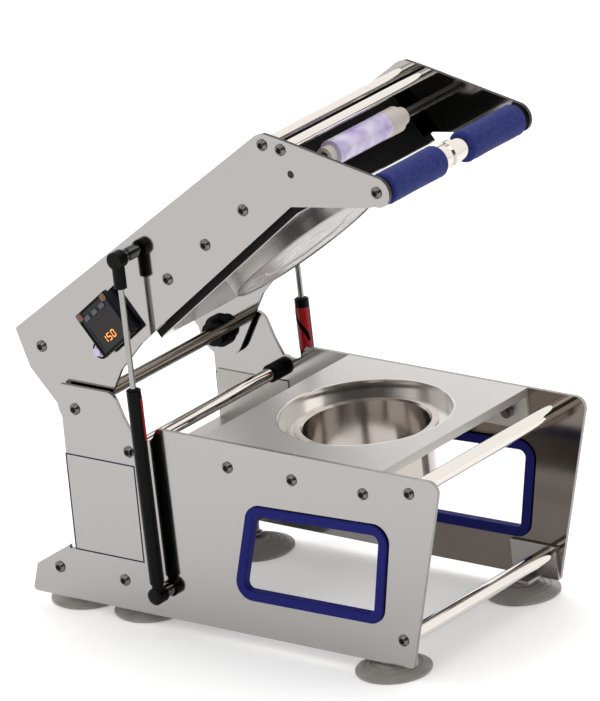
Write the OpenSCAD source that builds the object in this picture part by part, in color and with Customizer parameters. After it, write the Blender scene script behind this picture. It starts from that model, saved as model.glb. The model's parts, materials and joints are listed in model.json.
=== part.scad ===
// Table-top cup sealing machine with a gas-sprung, hinged sealing head.
// +X is the operator's side (handle), +Y runs along the tie bars, +Z is up.
// Origin: centre of the outline on the table. The head is drawn in its open rest position.

/* [Base frame] */
// Overall width over the two side plates
base_w = 252; // [220:1:300]
// Length of a side plate along its bottom edge
base_l = 487; // [450:1:530]
// How far the top front corner leads the bottom front corner
front_lean = 50; // [20:1:70]
// Height of a side plate at the die plate
plate_h = 207; // [190:1:240]
// Thickness of the side plates
plate_t = 4; // [3:0.5:6]
// Height of the pivot towers above the die plate
tower_rise = 30; // [24:1:50]
// Length of a pivot tower along X
tower_l = 76; // [70:1:90]
// Clearance from the table to the side plates
foot_h = 14; // [12:1:20]
// Radius of a suction foot
foot_r = 39; // [30:1:39]
// Radius of the tie bars
bar_r = 8; // [6:0.5:8]

/* [Windows] */
// Width of the rubber edge trim
trim_w = 11; // [8:0.5:12]
// How far the trim stands off each plate face
trim_lip = 3; // [2:0.5:4]

/* [Die] */
// Distance from the head pivot to the die centre
die_reach = 273; // [265:1:280]
// Length of the die plate
die_l = 226; // [220:1:240]
// Thickness of the die plate sheet
die_t = 3; // [2:0.5:4]
// Radius of the recess the sealing disc enters
recess_r = 88.5; // [84:0.5:90]
// Depth of the recess
recess_d = 13; // [12:0.5:16]
// Inner radius of the cup holder
cup_r = 64.5; // [50:0.5:66]
// Depth of the cup holder below the recess
cup_d = 72; // [40:1:90]

/* [Head] */
// Angle the head is open at rest
open_angle = 40; // [30:1:45]
// Gap between a side plate and the arm inside it
arm_gap = 3.5; // [2:0.5:5]
// Thickness of the arms
arm_t = 4; // [3:0.5:6]
// Height of the pivot above the die plate
pivot_rise = 5; // [3:1:8]
// Distance from the pivot to the handle along the closed head
handle_reach = 500; // [480:1:520]
// Radius of the foam grips
grip_r = 16.5; // [14:0.5:18]
// Length of each foam grip
grip_l = 92; // [80:1:98]
// Thickness of the insulating plate and its steel shield above the sealing disc
ins_t = 9; // [6:0.5:12]
// Thickness of the sealing disc
disc_t = 10; // [6:0.5:10]

/* [Film] */
// Width of the film on the supply roll
film_w = 160; // [120:1:180]
// Radius of the supply roll
supply_r = 27; // [18:1:28]
// Radius of the take-up roll
takeup_r = 13.5; // [10:0.5:15]

/* [Gas springs] */
// Distance from a side plate to the gas spring axis
spring_off = 13; // [12:0.5:20]
// Radius of a gas spring tube
tube_r = 7.5; // [6:0.5:8]
// Length from the lower eye to the top of the tube
tube_l = 222; // [200:1:230]

/* [Controller] */
// Side of the square temperature controller
ctrl_s = 52; // [48:1:56]
// Height of the controller above the arm
ctrl_t = 11; // [8:1:11]

/* [Hidden] */
$fn = 64;
fit = 0.05;
gap = 0.5;
half_w = base_w / 2;
in_w = half_w - plate_t;
arm_o = in_w - arm_gap;
arm_i = arm_o - arm_t;
top_l = base_l + front_lean;
x0 = top_l / 2;
tower_x = 64;
tower_z = plate_h + tower_rise;
pivot_x = tower_x + 17;
pivot_z = plate_h + pivot_rise;
die_x = pivot_x + die_reach;
bolt_r = 4;
head_bolt_r = 6.2;
pivot_r = 7;
thread_l = 18;
bar_ft = [top_l - 36, plate_h - 17];
bar_fb = [base_l - 10, 29];
bar_r1 = [38, 32];
bar_r2 = [123, 32];
bar_tw = [tower_x + 82, plate_h - 31];
bar_tw_r = 7;
flange_h = 45;
flange_bolt_z = plate_h - 27;
flange_bolts = [die_x - 81, die_x, die_x + 89];
foot_x_front = base_l - 39;
foot_y_front = half_w - 16.5;
foot_y_rear = half_w - 38;
foot_rear_x = [max(bar_r1[0], foot_r + 1), bar_r2[0]];
box_x = [tower_x - 1, tower_x + 86];
box_z = [57, plate_h - 47];
shell_x = box_x[1] - 25;
shell_z = box_z[0] + 55;
edge_h = 9;
cover_gap = 1.5;
shell_t = 1.6;
lip_d = 8;
lip_up = 5;
lid_t = 2;
inlet_y = -84;
inlet_z = 86;
fuse_y = -42;
switch_y = 4;
win = [[die_x - 46, plate_h - 81], [die_x + 97, plate_h - 76], [die_x + 84, 59], [die_x - 65, 57]];
win_out = 18;
win_in = win_out - trim_w;
win_cut = win_out - trim_w / 2;
arm_low = plate_h + 1 + ins_t - pivot_z;
bolt_v = arm_low + 30;
head_bolts = [die_reach - 69, die_reach, die_reach + 69];
handle_v = arm_low - 46.5;
end_r = 15.5;
handle_r = 8;
tb = [430, arm_low + 49];
tb2 = [414, arm_low + 65];
top_bar_r = 5.5;
supply = [6, 72];
supply_shaft_r = 6;
takeup = [422, arm_low + 24];
takeup_shaft_r = 5;
core_r = takeup_r - 4;
guide = [24.1, -5.5];
guide_r = 4.5;
hub_r = 17;
shield_t = 1;
hub_t = 15;
ins_u = [die_reach - 128, die_reach + 122];
ins_y = arm_i - 1;
disc_r = recess_r - 4.5;
knife_t = 1.4;
knife_drop = 1;
rail_t = 12;
rail_u = [die_reach - 84, die_reach + 84];
cover_h = 68;
cover_y = arm_i - rail_t - 0.6;
spring_y = half_w + spring_off;
low_stud = [176.5, 30];
up_stud = [182.7, 80.4];
stud_r = 4;
eye_r = 9;
eye_w = 12;
rod_r = 3;
bore_r = 5.9;
gland_l = 12;
open_x = pivot_x + up_stud[0] * cos(open_angle) - up_stud[1] * sin(open_angle);
open_z = pivot_z + up_stud[0] * sin(open_angle) + up_stud[1] * cos(open_angle);
spring_len = norm([open_x - low_stud[0], open_z - low_stud[1]]);
spring_tilt = atan2(open_x - low_stud[0], open_z - low_stud[1]);
ctrl_c = [106, 43];
lamp_c = [72, 28];
key_s = [8, 5];
key_v = 16;
key_u = [-13, 0, 13];
rocker_s = [19, 11];
rocker_tilt = 9;

// ---- placing helpers ----

// Moves plate coordinates (X from the rear corner, Z from the plate's bottom edge) into the part.
module at_base() {
    translate([-x0, 0, foot_h]) children();
}

// Closed-head coordinates (u along, v up from the pivot), turned to the open rest position.
module at_head() {
    at_base() translate([pivot_x, 0, pivot_z]) rotate([0, -open_angle, 0]) children();
}

module both() {
    children();
    mirror([0, 1, 0]) children();
}

// Rod along +Y from y1 to y2 about the point [x, z].
module rod_y(p, r, y1, y2) {
    translate([p[0], y1, p[1]]) rotate([-90, 0, 0]) cylinder(r = r, h = y2 - y1);
}

// Extrudes an outline drawn in X and Z from y1 to y2.
module slab_y(y1, y2) {
    translate([0, y2, 0]) rotate([90, 0, 0]) linear_extrude(height = y2 - y1) children();
}

// Dome-headed bolt whose head sits on the face y and whose shank runs towards +Y.
module dome_bolt(p, y, l) {
    translate([p[0], y, p[1]]) rotate([-90, 0, 0]) {
        translate([0, 0, -1]) cylinder(r = head_bolt_r, h = 1);
        translate([0, 0, -3.4]) cylinder(r1 = head_bolt_r - 2.4, r2 = head_bolt_r - 0.5, h = 2.4);
        cylinder(r = bolt_r - 0.1, h = l);
    }
}

function arc(c, r, a0, a1, n) = [for (i = [0:n]) [c[0] + r * cos(a0 + (a1 - a0) * i / n),
    c[1] + r * sin(a0 + (a1 - a0) * i / n)]];

// ---- base ----

module side_outline() {
    polygon(concat(
        arc([4, 4], 4, 270, 180, 4),
        [[8, 31], [tower_x - 2, 64], [tower_x - 1, tower_z - 2], [tower_x + 1, tower_z]],
        arc([tower_x + tower_l - 16, tower_z - 14], 14, 90, 15, 6),
        [[tower_x + tower_l + 4, plate_h + 4], [tower_x + tower_l + 14, plate_h - 14],
            [tower_x + tower_l + 34, plate_h - 14], [tower_x + tower_l + 46, plate_h]],
        arc([top_l - 11, plate_h - 11], 11, 90, -15, 8),
        arc([base_l - 4, 4], 4, -15, -90, 4)));
}

module win_shape(r) {
    hull() {
        for (p = win) rod_y(p, r, -half_w - 20, half_w + 20);
    }
}

module side_plate() {
    difference() {
        slab_y(-half_w, -in_w) side_outline();
        win_shape(win_cut);
        rod_y([tower_x + tower_l + 27, plate_h], 16, -half_w - 1, -in_w + 1);
        translate([box_x[0] - 9, -half_w - 1, box_z[0] - cover_gap])
            cube([box_x[1] - box_x[0] + 9 + cover_gap, plate_t + 2, box_z[1] - box_z[0] + 2 * cover_gap]);
        for (p = concat([bar_ft, bar_fb, bar_r1, bar_r2, bar_tw, [pivot_x, pivot_z], low_stud],
                [for (x = flange_bolts) [x, flange_bolt_z]]))
            rod_y(p, bolt_r, -half_w - 1, -in_w + 1);
    }
}

module side_plate_left() {
    color([0.78, 0.78, 0.77]) at_base() side_plate();
}

module side_plate_right() {
    color([0.78, 0.78, 0.77]) at_base() mirror([0, 1, 0]) side_plate();
}

module window_trims() {
    color([0.08, 0.12, 0.55]) at_base() both() intersection() {
        difference() {
            win_shape(win_out);
            win_shape(win_in);
            difference() {
                translate([0, -half_w, 0]) cube([top_l, plate_t, plate_h]);
                win_shape(win_cut);
            }
        }
        translate([0, -half_w - trim_lip, 0]) cube([top_l, plate_t + 2 * trim_lip, plate_h]);
    }
}

module tie_bar(p, r, y) {
    difference() {
        rod_y(p, r, -y, y);
        for (s = [-1, 1]) rod_y(p, bolt_r, s > 0 ? y - thread_l : -y - 1, s > 0 ? y + 1 : -y + thread_l);
    }
}

module tie_bars() {
    color([0.85, 0.85, 0.86]) at_base() {
        tie_bar(bar_ft, bar_r, in_w);
        tie_bar(bar_fb, bar_r, in_w - die_t);
        tie_bar(bar_tw, bar_tw_r, in_w);
        difference() {
            union() {
                tie_bar(bar_r1, bar_r, in_w);
                tie_bar(bar_r2, bar_r, in_w);
            }
            for (x = foot_rear_x) for (s = [-1, 1])
                translate([x, s * foot_y_rear, 20]) cylinder(r = bolt_r, h = 10);
        }
    }
}

module tower_bar_collars() {
    color([0.05, 0.05, 0.05]) at_base() both() difference() {
        rod_y(bar_tw, bar_tw_r + 2.5, -in_w, -in_w + 14);
        rod_y(bar_tw, bar_tw_r, -in_w - 1, -in_w + 15);
    }
}

module frame_bolts() {
    color([0.8, 0.8, 0.8]) at_base() both() {
        for (p = [bar_ft, bar_r1, bar_r2, bar_tw, bar_fb, [pivot_x, pivot_z]])
            dome_bolt(p, -half_w, plate_t + thread_l - 2);
        for (x = flange_bolts) {
            dome_bolt([x, flange_bolt_z], -half_w, plate_t + die_t + 8);
            difference() {
                rod_y([x, flange_bolt_z], 7, -in_w + die_t, -in_w + die_t + 6);
                rod_y([x, flange_bolt_z], bolt_r - 0.1, -in_w, -in_w + 12);
            }
        }
    }
}

module foot_brackets() {
    color([0.7, 0.7, 0.7]) at_base() both() difference() {
        union() {
            translate([foot_x_front - 18, -in_w, 2]) cube([bar_fb[0] - foot_x_front + 28, die_t, 36]);
            translate([foot_x_front - 18, -in_w, 2]) cube([36, 26, die_t]);
        }
        rod_y(bar_fb, bolt_r, -half_w, -in_w + 9);
        translate([foot_x_front, -foot_y_front, 0]) cylinder(r = bolt_r, h = 10);
    }
}

module foot_stud(x, y, top) {
    translate([x, y, 6 - foot_h]) cylinder(r = bolt_r - 0.1, h = foot_h - 6 + top);
}

module foot_nut(x, y, z) {
    translate([x, y, z]) difference() {
        cylinder(r = 7, h = 5, $fn = 6);
        translate([0, 0, -1]) cylinder(r = bolt_r - 0.1, h = 7);
    }
}

module foot_studs() {
    color([0.75, 0.75, 0.75]) at_base() both() {
        foot_stud(foot_x_front, -foot_y_front, 15);
        foot_nut(foot_x_front, -foot_y_front, 2 + die_t);
        for (x = foot_rear_x) {
            foot_stud(x, -foot_y_rear, 29);
            foot_nut(x, -foot_y_rear, 0);
        }
    }
}

module foot(x, y) {
    translate([x, y, 0]) rotate_extrude() polygon([[bolt_r, 2.5], [foot_r - 11, 2], [foot_r - 9, 0],
        [foot_r - 1, 0], [foot_r, 1], [foot_r, 3], [foot_r - 6, 5.5], [20, 9], [13, 11],
        [12, foot_h - 0.2], [bolt_r, foot_h - 0.2]]);
}

module suction_feet() {
    color([0.72, 0.7, 0.67]) translate([-x0, 0, 0]) both() {
        foot(foot_x_front, -foot_y_front);
        for (x = foot_rear_x) foot(x, -foot_y_rear);
    }
}

module die_plate() {
    color([0.82, 0.82, 0.82]) at_base() difference() {
        translate([die_x - die_l / 2, -in_w, plate_h - flange_h]) cube([die_l, 2 * in_w, flange_h]);
        translate([die_x - die_l / 2 + die_t, -in_w + die_t, plate_h - flange_h - 1])
            cube([die_l - 2 * die_t, 2 * (in_w - die_t), flange_h + 1 - die_t]);
        translate([die_x - die_l / 2 - 1, -in_w + die_t, plate_h - flange_h - 1])
            cube([die_l + 2, 2 * (in_w - die_t), flange_h + 1 - edge_h]);
        translate([die_x, 0, plate_h - 10]) cylinder(r = recess_r + 2.5, h = 20);
        for (x = flange_bolts) rod_y([x, flange_bolt_z], bolt_r, -half_w, half_w);
    }
}

module die_ring() {
    color([0.8, 0.8, 0.8]) at_base() translate([die_x, 0, plate_h]) rotate_extrude()
        polygon([[recess_r, -0.6], [recess_r + 0.6, 0], [recess_r + 2.5, 0], [recess_r + 2.5, -die_t],
            [recess_r + 9, -die_t], [recess_r + 9, -die_t - 3], [recess_r + 2.5, -die_t - 3],
            [recess_r + 2.5, -recess_d - 3], [cup_r + 2, -recess_d - 3], [cup_r + 2, -recess_d],
            [recess_r, -recess_d]]);
}

module cup_holder() {
    color([0.7, 0.69, 0.67]) at_base() translate([die_x, 0, plate_h - recess_d]) rotate_extrude()
        polygon([[cup_r, 0], [cup_r + 2, 2], [cup_r + 9, 2], [cup_r + 9, 0], [cup_r + 2, 0],
            [cup_r + 2, -cup_d], [cup_r - 6, -cup_d - 2], [cup_r - 6, -cup_d], [cup_r, -cup_d + 2]]);
}

module box_shell() {
    color([0.6, 0.6, 0.6]) at_base() difference() {
        union() {
            translate([box_x[0] + lid_t + 1, -in_w, box_z[0]])
                cube([shell_x - box_x[0] - lid_t - 1, 2 * in_w, shell_z - box_z[0]]);
            both() translate([box_x[0] + lid_t + 1, -in_w, box_z[0] - lip_d])
                cube([box_x[1] - box_x[0] - lid_t - 1 + lip_d, shell_t, box_z[1] - box_z[0] + lip_d + lip_up]);
        }
        translate([box_x[0], -in_w + shell_t, box_z[0] + shell_t])
            cube([shell_x - box_x[0] - shell_t, 2 * (in_w - shell_t), shell_z - box_z[0] - 2 * shell_t]);
    }
}

module box_lid() {
    color([0.8, 0.8, 0.8]) at_base() difference() {
        translate([box_x[0] + 1, -in_w, box_z[0]]) cube([lid_t, 2 * in_w, shell_z - box_z[0]]);
        translate([box_x[0], inlet_y - 14, inlet_z - 10]) cube([9, 28, 20]);
        translate([box_x[0], switch_y - 14, inlet_z - 9.5]) cube([9, 28, 19]);
        translate([box_x[0], fuse_y, inlet_z]) rotate([0, 90, 0]) cylinder(r = 6.5, h = 9);
    }
}

module side_covers() {
    color([0.8, 0.8, 0.8]) at_base() both() translate([box_x[0], -half_w, box_z[0]])
        cube([box_x[1] - box_x[0], plate_t, box_z[1] - box_z[0]]);
}

module power_inlet() {
    color([0.04, 0.04, 0.04]) at_base() difference() {
        union() {
            translate([box_x[0] - 3, inlet_y - 24, inlet_z - 13]) cube([4, 48, 26]);
            translate([box_x[0] + 1, inlet_y - 13.8, inlet_z - 9.8]) cube([22, 27.6, 19.6]);
        }
        translate([box_x[0] - 4, inlet_y - 11.5, inlet_z - 7.5]) cube([19, 23, 15]);
        for (s = [-1, 1]) translate([box_x[0] - 4, inlet_y + s * 19.5, inlet_z]) rotate([0, 90, 0])
            cylinder(r = 1.8, h = 9);
    }
}

module fuse_holder() {
    color([0.05, 0.05, 0.05]) at_base() translate([box_x[0] + 1, fuse_y, inlet_z]) rotate([0, 90, 0]) {
        cylinder(r = 6.4, h = 26);
        translate([0, 0, -3]) cylinder(r = 8.5, h = 3);
        difference() {
            translate([0, 0, -8]) cylinder(r = 6, h = 5);
            translate([-8, -0.8, -9]) cube([16, 1.6, 2.5]);
        }
    }
}

module switch_body() {
    color([0.05, 0.05, 0.05]) at_base() difference() {
        union() {
            translate([box_x[0] - 1, switch_y - 16, inlet_z - 11.5]) cube([2, 32, 23]);
            translate([box_x[0] + 1, switch_y - 13.8, inlet_z - 9.3]) cube([20, 27.6, 18.6]);
        }
        translate([box_x[0] - 2, switch_y - rocker_s[0] / 2 - 1, inlet_z - rocker_s[1] / 2 - 1])
            cube([14, rocker_s[0] + 2, rocker_s[1] + 2]);
        translate([box_x[0] + 3, switch_y, inlet_z - 9]) cylinder(r = 1.5 + fit, h = 18);
    }
}

module rocker() {
    color([0.7, 0.05, 0.04]) at_base() translate([box_x[0] + 3, switch_y, inlet_z]) {
        translate([0, 0, -8.5]) cylinder(r = 1.5, h = 17);
        rotate([0, 0, rocker_tilt]) translate([0, 0, -rocker_s[1] / 2]) linear_extrude(height = rocker_s[1])
            polygon([[-4, -9], [-5.4, -8.6], [-4.6, 0], [-5.4, 8.6], [-4, 9], [2, 4], [2, -4]]);
    }
}

module terminal_block() {
    color([0.85, 0.84, 0.78]) at_base() translate([box_x[0] + 30, -40, box_z[0] + shell_t]) difference() {
        cube([22, 70, 18]);
        for (i = [0:5]) translate([11, 8 + i * 11, 12]) cylinder(r = 3, h = 8);
    }
}

module relay() {
    color([0.12, 0.12, 0.13]) at_base() translate([box_x[0] + 14, 50, box_z[0] + shell_t]) {
        cube([45, 58, 6]);
        for (i = [0:6]) translate([0, 2 + i * 8.5, 6]) cube([45, 3, 20]);
    }
}

module pivot_shaft() {
    color([0.1, 0.1, 0.1]) at_base() tie_bar([pivot_x, pivot_z], pivot_r, in_w);
}

module lower_studs() {
    color([0.5, 0.5, 0.5]) at_base() both() {
        rod_y(low_stud, stud_r, -spring_y - eye_w / 2 - 1, -half_w);
        rod_y(low_stud, bolt_r - 0.1, -half_w, -in_w + 4);
        rod_y(low_stud, 7, -spring_y + eye_w / 2 + gap, -half_w);
        difference() {
            rod_y(low_stud, 7, -in_w, -in_w + 5);
            rod_y(low_stud, bolt_r - 0.1, -in_w - 1, -in_w + 6);
        }
    }
}

// ---- head ----

module arm() {
    difference() {
        union() {
            slab_y(-arm_o, -arm_i) polygon([[-9.5, 104.3], [tb2[0] - 2, arm_low + 77],
                [tb2[0] + 9, arm_low + 73], [tb[0] + 8.5, arm_low + 55],
                [handle_reach + 12.4, handle_v + 9.3], [handle_reach + 4, handle_v - 15],
                [handle_reach - 12, handle_v - 9.8], [handle_reach - 23, arm_low - 51],
                [397, arm_low], [122, arm_low], [78, arm_low - 6], [12.3, -26.3], [0, 0],
                [-22.9, 17.9], [-24.4, 64.4]]);
            rod_y([0, 0], 29, -arm_o, -arm_i);
            rod_y([handle_reach, handle_v], end_r, -arm_o, -arm_i);
        }
        rod_y([0, 0], pivot_r + 0.5, -arm_o - 1, -arm_i + 1);
        for (p = arm_bolt_points()) rod_y(p, bolt_r, -arm_o - 1, -arm_i + 1);
        rod_y(up_stud, bolt_r, -arm_o - 1, -arm_i + 1);
        rod_y(guide, guide_r - 2, -arm_o - 1, -arm_i + 1);
    }
}

function arm_bolt_points() = concat([tb, tb2, supply, takeup, [handle_reach, handle_v]],
    [for (u = head_bolts) [u, bolt_v]]);

module arm_left() {
    color([0.78, 0.78, 0.77]) at_head() arm();
}

module arm_right() {
    color([0.78, 0.78, 0.77]) at_head() mirror([0, 1, 0]) arm();
}

module pivot_hubs() {
    color([0.04, 0.04, 0.04]) at_head() both() difference() {
        union() {
            rod_y([0, 0], hub_r, -arm_i, -arm_i + 5);
            rod_y([0, 0], hub_r - 4, -arm_i, -arm_i + hub_t);
        }
        rod_y([0, 0], pivot_r + fit, -arm_i - 1, -arm_i + hub_t + 1);
    }
}

module head_bars() {
    color([0.88, 0.88, 0.88]) at_head() {
        tie_bar(tb, top_bar_r, arm_i);
        tie_bar(tb2, top_bar_r, arm_i);
    }
}

module guide_bar() {
    color([0.85, 0.85, 0.86]) at_head() {
        rod_y(guide, guide_r, -arm_i, arm_i);
        rod_y(guide, guide_r - 2.1, -arm_o, arm_o);
    }
}

module arm_bolts() {
    color([0.8, 0.8, 0.8]) at_head() both()
        for (p = arm_bolt_points()) if (p != takeup) dome_bolt(p, -arm_o, arm_t + 10);
}

module carrier_rails() {
    color([0.7, 0.71, 0.72]) at_head() both() difference() {
        translate([rail_u[0], -arm_i, arm_low]) cube([rail_u[1] - rail_u[0], rail_t, 42]);
        for (u = head_bolts) rod_y([u, bolt_v], bolt_r, -arm_i - 1, -arm_i + rail_t + 1);
    }
}

module insulation_plate() {
    color([0.04, 0.04, 0.04]) at_head() difference() {
        translate([ins_u[0], -ins_y, arm_low - ins_t + shield_t])
            cube([ins_u[1] - ins_u[0], 2 * ins_y, ins_t - shield_t]);
        for (s = [-1, 1]) translate([die_reach + s * 20, 0, arm_low - ins_t - 1]) cylinder(r = 5, h = ins_t + 2);
    }
}

module shield_plate() {
    color([0.8, 0.8, 0.79]) at_head() difference() {
        translate([ins_u[0], -ins_y, arm_low - ins_t]) cube([ins_u[1] - ins_u[0], 2 * ins_y, shield_t]);
        for (s = [-1, 1]) translate([die_reach + s * 20, 0, arm_low - ins_t - 1]) cylinder(r = 5, h = ins_t + 2);
    }
}

module sealing_disc() {
    color([0.75, 0.75, 0.75]) at_head() translate([die_reach, 0, arm_low - ins_t - disc_t])
        rotate_extrude() polygon([[0, 0.8], [48, 0.8], [50, 0], [disc_r - 1, 0], [disc_r, 1],
            [disc_r, disc_t], [66, disc_t], [66, disc_t - 6], [54, disc_t - 6], [54, disc_t], [0, disc_t]]);
}

module heater_element() {
    color([0.35, 0.33, 0.32]) at_head() translate([die_reach, 0, arm_low - ins_t - 6]) difference() {
        cylinder(r = 65.5, h = 5.8);
        translate([0, 0, -1]) cylinder(r = 54.5, h = 8);
    }
}

module cutter_ring() {
    color([0.6, 0.6, 0.6]) at_head() translate([die_reach, 0, arm_low - ins_t - disc_t - knife_drop])
        rotate_extrude() polygon([[disc_r, 0], [disc_r + knife_t, 1.4], [disc_r + knife_t, disc_t + knife_drop],
            [disc_r, disc_t + knife_drop]]);
}

module head_cover() {
    color([0.03, 0.03, 0.03]) at_head() difference() {
        translate([ins_u[0] + 6, -cover_y, arm_low]) cube([ins_u[1] - ins_u[0] - 6, 2 * cover_y, cover_h]);
        translate([ins_u[0] + 8, -cover_y + 2, arm_low - 1])
            cube([ins_u[1] - ins_u[0] - 10, 2 * cover_y - 4, cover_h - 1]);
    }
}

module handle_bar() {
    color([0.85, 0.85, 0.86]) at_head() tie_bar([handle_reach, handle_v], handle_r, arm_i);
}

module grip() {
    difference() {
        union() {
            rod_y([handle_reach, handle_v], grip_r, -arm_i + 8, -arm_i + grip_l);
            rod_y([handle_reach, handle_v], grip_r - 2.5, -arm_i + 5, -arm_i + grip_l + 3);
        }
        rod_y([handle_reach, handle_v], handle_r, -arm_i, -arm_i + grip_l + 9);
    }
}

module grip_left() {
    color([0.07, 0.1, 0.6]) at_head() grip();
}

module grip_right() {
    color([0.07, 0.1, 0.6]) at_head() mirror([0, 1, 0]) grip();
}

module handle_joint() {
    color([0.9, 0.9, 0.88]) at_head() difference() {
        union() {
            rod_y([handle_reach, handle_v], 11.5, -arm_i + grip_l + 3, arm_i - grip_l - 3);
            rod_y([handle_reach, handle_v], 13.5, -5, 5);
        }
        rod_y([handle_reach, handle_v], handle_r, -arm_i, arm_i);
    }
}

module handle_collars() {
    color([0.03, 0.03, 0.03]) at_head() both() difference() {
        rod_y([handle_reach, handle_v], 13, -arm_i, -arm_i + 5);
        rod_y([handle_reach, handle_v], handle_r, -arm_i - 1, -arm_i + 6);
    }
}

module film_shafts() {
    color([0.8, 0.8, 0.8]) at_head() {
        tie_bar(supply, supply_shaft_r, arm_i);
        rod_y(takeup, takeup_shaft_r, -arm_i, arm_i);
        rod_y(takeup, bolt_r - 0.1, -arm_o, arm_o);
    }
}

module roll_tube(p, r_in, r_out, w) {
    difference() {
        rod_y(p, r_out, -w / 2, w / 2);
        rod_y(p, r_in, -w / 2 - 1, w / 2 + 1);
    }
}

module supply_core() {
    color([0.04, 0.04, 0.04]) at_head() {
        roll_tube(supply, supply_shaft_r + fit, 12, film_w + 20);
        for (s = [-1, 1]) translate([0, s * (film_w / 2 + 3), 0])
            roll_tube(supply, 12, supply_r, 5);
    }
}

module supply_film() {
    color([0.85, 0.86, 0.9]) at_head() roll_tube(supply, 12, supply_r - 2, film_w);
}

module takeup_core() {
    color([0.93, 0.92, 0.88]) at_head() roll_tube(takeup, takeup_shaft_r + fit, core_r, 128);
}

module takeup_film() {
    color([0.62, 0.56, 0.85]) at_head() roll_tube(takeup, core_r, takeup_r, 106);
}

// Face of the controller, with +X along the head, +Y up the head and +Z out of the arm.
module at_ctrl() {
    at_head() translate([ctrl_c[0], -arm_o, ctrl_c[1]]) rotate([90, 0, 0]) children();
}

module controller() {
    color([0.05, 0.05, 0.06]) at_ctrl() difference() {
        union() {
            translate([-ctrl_s / 2 + 2, -ctrl_s / 2 + 2, 0]) cube([ctrl_s - 4, ctrl_s - 4, ctrl_t - 4]);
            translate([-ctrl_s / 2, -ctrl_s / 2, ctrl_t - 5]) cube([ctrl_s, ctrl_s, 5]);
        }
        translate([-20, -20, ctrl_t - 1.5]) cube([40, 28, 3]);
        for (u = key_u) translate([u - key_s[0] / 2 - 0.5, key_v - key_s[1] / 2 - 0.5, ctrl_t - 4])
            cube([key_s[0] + 1, key_s[1] + 1, 5]);
    }
}

module display_window() {
    color([0.9, 0.45, 0.05]) at_ctrl() translate([-20, -20, ctrl_t - 1.5]) cube([40, 28, 1]);
}

module key(i) {
    color([0.5, 0.5, 0.52]) at_ctrl() translate([key_u[i] - key_s[0] / 2, key_v - key_s[1] / 2, ctrl_t - 2.8])
        cube([key_s[0], key_s[1], 4]);
}

module key_1() {
    key(0);
}

module key_2() {
    key(1);
}

module key_3() {
    key(2);
}

module pilot_lamp() {
    color([0.8, 0.76, 0.88]) at_head() {
        rod_y(lamp_c, 7, -arm_o - 2.5, -arm_o);
        rod_y(lamp_c, 4.5, -arm_o - 8, -arm_o - 2.5);
    }
}

module upper_studs() {
    color([0.5, 0.5, 0.5]) at_head() both() {
        rod_y(up_stud, bolt_r - 0.1, -arm_o, -arm_i + 4);
        rod_y(up_stud, 7, -arm_o - 6, -arm_o);
        rod_y(up_stud, 5, -spring_y + eye_w / 2 + gap, -arm_o - 6);
        difference() {
            rod_y(up_stud, 7, -arm_i, -arm_i + 5);
            rod_y(up_stud, bolt_r - 0.1, -arm_i - 1, -arm_i + 6);
        }
    }
}

// ---- gas springs ----

// Gas spring coordinates: +Z from the lower stud to the upper stud, at rest. side is -1 left, 1 right.
module at_spring(side) {
    at_base() translate([low_stud[0], side * spring_y, low_stud[1]]) rotate([0, spring_tilt, 0]) children();
}

module spring_tube() {
    difference() {
        union() {
            translate([0, 0, 13]) cylinder(r = tube_r, h = tube_l - 13);
            translate([0, 0, 4]) cylinder(r = 6, h = 10);
            rod_y([0, 0], eye_r, -eye_w / 2, eye_w / 2);
        }
        rod_y([0, 0], stud_r + fit, -eye_w, eye_w);
        translate([0, 0, 18]) cylinder(r = bore_r, h = tube_l - 18 - gland_l);
        translate([0, 0, 18]) cylinder(r = rod_r + fit, h = tube_l);
    }
}

module spring_rod() {
    cap = spring_len - 30;
    union() {
        translate([0, 0, tube_l - gland_l - 22]) cylinder(r = bore_r - fit, h = 12);
        translate([0, 0, tube_l - gland_l - 12]) cylinder(r = rod_r, h = cap + 4 - tube_l + gland_l + 12);
        translate([0, 0, cap]) cylinder(r = 6.5, h = 26);
        rod_y([0, spring_len], eye_r, -eye_w / 2, eye_w / 2);
    }
}

module spring_label(side) {
    translate([0, 0, tube_l - 54]) rotate([0, 0, side > 0 ? 180 : 0])
        rotate_extrude(angle = 180) translate([tube_r, 0]) square([0.3, 46]);
}

module spring_tube_left() {
    color([0.04, 0.04, 0.04]) at_spring(-1) spring_tube();
}

module spring_rod_left() {
    color([0.75, 0.77, 0.78]) at_spring(-1) spring_rod();
}

module spring_label_left() {
    color([0.7, 0.02, 0.05]) at_spring(-1) spring_label(-1);
}

module spring_tube_right() {
    color([0.04, 0.04, 0.04]) at_spring(1) spring_tube();
}

module spring_rod_right() {
    color([0.75, 0.77, 0.78]) at_spring(1) spring_rod();
}

module spring_label_right() {
    color([0.7, 0.02, 0.05]) at_spring(1) spring_label(1);
}

side_plate_left();
side_plate_right();
window_trims();
tie_bars();
tower_bar_collars();
frame_bolts();
foot_brackets();
foot_studs();
suction_feet();
die_plate();
die_ring();
cup_holder();
box_shell();
box_lid();
side_covers();
power_inlet();
fuse_holder();
switch_body();
rocker();
terminal_block();
relay();
pivot_shaft();
lower_studs();
arm_left();
arm_right();
pivot_hubs();
head_bars();
guide_bar();
arm_bolts();
carrier_rails();
insulation_plate();
shield_plate();
sealing_disc();
heater_element();
cutter_ring();
head_cover();
handle_bar();
grip_left();
grip_right();
handle_joint();
handle_collars();
film_shafts();
supply_core();
supply_film();
takeup_core();
takeup_film();
controller();
display_window();
key_1();
key_2();
key_3();
pilot_lamp();
upper_studs();
spring_tube_left();
spring_rod_left();
spring_label_left();
spring_tube_right();
spring_rod_right();
spring_label_right();
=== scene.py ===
"""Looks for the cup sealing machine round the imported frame: finishes, small hardware, studio and camera."""
import json
import math

import bmesh
import bpy
from mathutils import Matrix, Vector


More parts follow.
